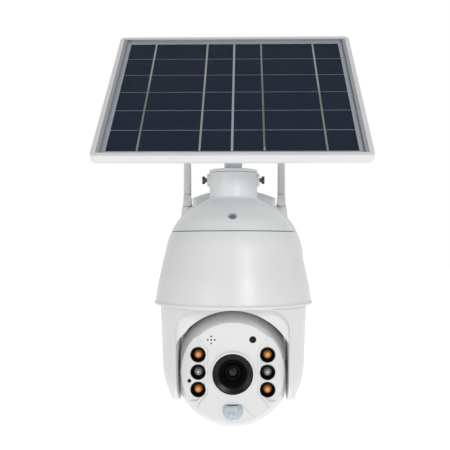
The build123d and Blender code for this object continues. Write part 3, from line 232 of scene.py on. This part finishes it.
def cell_material():
    """Dark silicon with fine contact fingers that cross the busbars."""
    s = Shader("silicon_cell")
    down = s.along(SLOPE, PANEL_CENTRE)
    turn = s.math("FRACT", s.math("DIVIDE", down, FINGER_PITCH))
    wave = s.math("ABSOLUTE", s.math("SUBTRACT", turn, 0.5))
    finger = s.math("LESS_THAN", wave, FINGER_SHARE)
    tone = s.mix(s.noise(14.0, 2.0), CELL_DARK, CELL_LIGHT)
    grains = s.mix(s.noise(GRAIN_SCALE, 1.0), tone, CELL_LIGHT)
    s.set(Base_Color=s.mix(s.math("MULTIPLY", finger, FINGER_TINT), grains, (0.16, 0.17, 0.2)))
    s.set(Roughness=s.spread(s.noise(80.0), 0.4, 0.5), Specular_IOR_Level=0.02)
    s.bump(finger, 0.000004)
    return s


def cover_glass():
    """Thin clear sheet with a faint even film of dust."""
    s = Shader("panel_glass")
    s.set(Base_Color=s.mix(s.noise(30.0), (0.03, 0.045, 0.07), (0.045, 0.06, 0.09)))
    s.set(Alpha=GLASS_ALPHA, Specular_IOR_Level=0.03)
    s.set(Roughness=s.spread(s.noise(60.0), 0.18, 0.26))
    s.bump(s.noise(400.0), 0.000002)
    return s


def coated_lens():
    """Dark coated element that keeps small sharp glints."""
    s = Shader("lens_glass")
    ring = s.math("FRACT", s.math("MULTIPLY", s.radius(LENS), COATING_RINGS))
    s.set(Base_Color=s.mix(ring, (0.004, 0.004, 0.006), (0.014, 0.014, 0.018)))
    s.set(Roughness=s.spread(s.noise(300.0), 0.05, 0.10))
    s.set(Specular_IOR_Level=0.22, Coat_Weight=0.25)
    s.bump(s.noise(500.0), 0.000002)
    return s


def resin(name, row, stops):
    """Resin dome over an emitter: its own tint, with a painted highlight at the centre, painted
    reflections in rings about its own axis and a faint painted glow.
    """
    s = Shader(name)
    x = s.math("SUBTRACT", s.math("ABSOLUTE", s.along(RIGHT, FACE)), LED_X)
    z = s.math("SUBTRACT", s.math("ABSOLUTE", s.along(UP, FACE)), row)
    # Ring colours: the resin's tint, plus a painted centre highlight and painted reflections.
    tint_and_glints = s.ramp(s.math("DIVIDE", s.length(x, z), LED_DOME_R), stops)
    specks = s.math("MULTIPLY", s.noise(700.0), SPECKLE)
    s.set(Base_Color=s.mix(specks, tint_and_glints, (0.12, 0.08, 0.05)))
    s.set(Roughness=s.spread(s.noise(500.0), 0.1, 0.2), Coat_Weight=0.3, Coat_Roughness=0.05)
    # Painted glow: the rings emit faintly although the emitter is not lit.
    s.set(Emission_Color=tint_and_glints, Emission_Strength=0.05)
    s.bump(s.noise(GRAIN_SCALE), 0.00001)
    return s


def pir_material():
    """Milky lens with moulded facets."""
    s = Shader("pir_lens")
    cells = s.node("ShaderNodeTexVoronoi", Scale=FACET_SCALE)
    s.link(s.place, cells.inputs["Vector"])
    s.set(Base_Color=s.mix(cells.outputs["Distance"], (0.50, 0.58, 0.62), (0.30, 0.36, 0.40)))
    s.set(Roughness=s.spread(s.noise(300.0), 0.16, 0.3))
    s.set(Subsurface_Weight=0.2, Subsurface_Scale=0.002)
    s.bump(cells.outputs["Distance"], 0.0004)
    return s


def shroud_material():
    """Matt black baffle with fine turned rings."""
    s = Shader("lens_shroud")
    ring = s.math("SINE", s.math("MULTIPLY", s.radius(LENS), TURNED_RINGS))
    s.set(Base_Color=s.mix(s.noise(200.0), (0.0025, 0.0025, 0.003), (0.006, 0.006, 0.0065)))
    s.set(Roughness=s.spread(s.noise(160.0), 0.35, 0.5), Specular_IOR_Level=0.08)
    s.bump(ring, 0.00008)
    return s


def sheet_material():
    """Bluish white film behind the cells."""
    s = Shader("back_film")
    s.set(Base_Color=s.mix(s.noise(25.0), (0.50, 0.55, 0.63), (0.58, 0.63, 0.70)))
    s.set(Roughness=s.spread(s.noise(120.0), 0.35, 0.5))
    s.bump(s.noise(600.0), 0.00001)
    return s


silicon = cell_material()
film = sheet_material()
ribbon = metal("tinned_ribbon", (0.60, 0.58, 0.54), 0.38, (1, 8, 8))
panel_glass = cover_glass()
lens_glass = coated_lens()
# LED ring stops: the resin's own tint, with a painted highlight at the centre and painted reflections
# of the cup in the lighter and darker rings.
AMBER_TINT_AND_GLINTS = [
    (0.0, (1.0, 0.85, 0.55)), (0.16, (0.95, 0.40, 0.07)), (0.28, (0.32, 0.09, 0.01)),
    (0.5, (0.80, 0.30, 0.05)), (0.72, (0.24, 0.07, 0.01)), (0.86, (0.60, 0.24, 0.04)),
    (1.0, (0.03, 0.012, 0.004)),
]
CLEAR_TINT_AND_GLINTS = [
    (0.0, (0.85, 0.85, 0.85)), (0.2, (0.45, 0.45, 0.45)), (0.34, (0.06, 0.06, 0.06)),
    (0.55, (0.34, 0.34, 0.34)), (0.72, (0.05, 0.05, 0.05)), (0.88, (0.30, 0.30, 0.30)),
    (1.0, (0.01, 0.01, 0.01)),
]
amber = resin("amber_resin", LED_PITCH, AMBER_TINT_AND_GLINTS)
clear = resin("clear_resin", 0.0, CLEAR_TINT_AND_GLINTS)
shroud = shroud_material()
milky = pir_material()

FINISHES = {
    white: ["dome_shell", "top_cover", "wall_housing", "wall_plate", "antenna_elbow_left",
            "antenna_elbow_right", "antenna_blade_left", "antenna_blade_right",
            "antenna_sockets", "yoke", "arm_covers", "head_shell", "face_plate", "swivel_plug",
            "post", "panel_bracket"],
    frame_paint: ["panel_frame"],
    rubber: ["seam_gasket", "service_plug"],
    seal: ["panel_seal"],
    black_rubber: ["solar_inlet"],
    black: ["speaker", "memory_card", "power_button", "reset_button", "junction_box",
            "panel_gland"],
    gloss: ["lens_bezel", "led_cups", "light_sensor_window"],
    grey: ["chassis"],
    shroud: ["lens_shroud", "lens_barrel"],
    acetal: ["pan_bearing", "pan_pinion", "pan_gear", "pan_spindle", "tilt_pinion",
             "tilt_gear", "trunnions"],
    wrap: ["battery_cells"],
    screw: ["housing_screws", "bracket_screws", "tilt_bolt"],
    dark_screw: ["lock_screws"],
    zinc: ["pan_motor", "tilt_motor"],
    green: ["charge_board", "main_board", "sensor_board", "led_boards", "service_board"],
    silicon: ["solar_cells"],
    film: ["back_sheet"],
    ribbon: ["cell_busbars"],
    panel_glass: ["panel_glass"],
    lens_glass: ["lens_elements"],
    amber: ["amber_leds"],
    clear: ["clear_leds"],
    milky: ["pir_lens"],
}
for finish, names in FINISHES.items():
    for name in names:
        mesh = nodes[name].data
        mesh.materials.clear()
        mesh.materials.append(finish.material)

# ------------------------------------------------------------------ floor, light and camera
FLOOR_SIZE = 30.0
FLOOR_Z = -0.60
FLOOR_GLOW = 0.85
bpy.ops.mesh.primitive_plane_add(size=FLOOR_SIZE, location=(0, 0, FLOOR_Z))
floor = bpy.context.object
floor.name = "floor"
floor_paint = Shader("floor_paint")
floor_paint.set(Base_Color=(0.5, 0.5, 0.5), Roughness=0.9,
                Emission_Color=(1.0, 1.0, 1.0), Emission_Strength=FLOOR_GLOW)
floor.data.materials.append(floor_paint.material)

world = bpy.data.worlds.new("studio")
scene.world = world
world.use_nodes = True
sky = world.node_tree
direction = sky.nodes.new("ShaderNodeTexCoord").outputs["Generated"]
parts = sky.nodes.new("ShaderNodeSeparateXYZ")
sky.links.new(direction, parts.inputs[0])
sideways = sky.nodes.new("ShaderNodeMath")
sideways.operation = "ABSOLUTE"
sky.links.new(parts.outputs["X"], sideways.inputs[0])


def sky_band(source, low, high, at_low, at_high):
    """Sky strength that changes along one direction."""
    band = sky.nodes.new("ShaderNodeMapRange")
    limits = {"From Min": low, "From Max": high, "To Min": at_low, "To Max": at_high}
    for socket, value in limits.items():
        band.inputs[socket].default_value = value
    sky.links.new(source, band.inputs["Value"])
    return band.outputs["Result"]


across = sky_band(sideways.outputs[0], low=0.45, high=0.95, at_low=1.0, at_high=0.43)
front = sky_band(parts.outputs["Y"], low=-0.5, high=0.45, at_low=0.44, at_high=1.0)
strength = sky.nodes.new("ShaderNodeMath")
strength.operation = "MULTIPLY"
sky.links.new(across, strength.inputs[0])
sky.links.new(front, strength.inputs[1])
sky.links.new(strength.outputs[0], sky.nodes["Background"].inputs["Strength"])
sky.nodes["Background"].inputs["Color"].default_value = (1.0, 1.0, 1.0, 1.0)


def softbox(name, location, target, size, power):
    """Square area light aimed at a point."""
    data = bpy.data.lights.new(name, "AREA")
    data.size = size
    data.energy = power
    lamp = bpy.data.objects.new(name, data)
    scene.collection.objects.link(lamp)
    lamp.location = location
    lamp.rotation_euler = (Vector(target) - Vector(location)).to_track_quat("-Z", "Y").to_euler()


softbox("key", (0.55, -1.5, 0.42), target=(0, AXIS_Y, 0), size=0.35, power=7.6)
softbox("fill", (-0.9, -1.35, 0.10), target=(0, AXIS_Y, -0.05), size=0.6, power=2.8)

VIEW_PX = 450.0
FOCAL_PX = 650.0
DISTANCE = 0.669
EYE_Z = 0.020
AZIMUTH = math.radians(1.0)
SENSOR_MM = 36.0
SHIFT_X_PX = -8.4
SHIFT_Y_PX = 18.0
camera_data = bpy.data.cameras.new("camera")
camera_data.sensor_width = SENSOR_MM
camera_data.lens = SENSOR_MM * FOCAL_PX / VIEW_PX
camera_data.shift_x = SHIFT_X_PX / VIEW_PX
camera_data.shift_y = SHIFT_Y_PX / VIEW_PX
camera = bpy.data.objects.new("camera", camera_data)
scene.collection.objects.link(camera)
camera.location = (DISTANCE * math.sin(AZIMUTH), AXIS_Y - DISTANCE * math.cos(AZIMUTH), EYE_Z)
camera.rotation_euler = (math.pi / 2, 0.0, AZIMUTH)
scene.camera = camera
scene.view_settings.view_transform = "Standard"
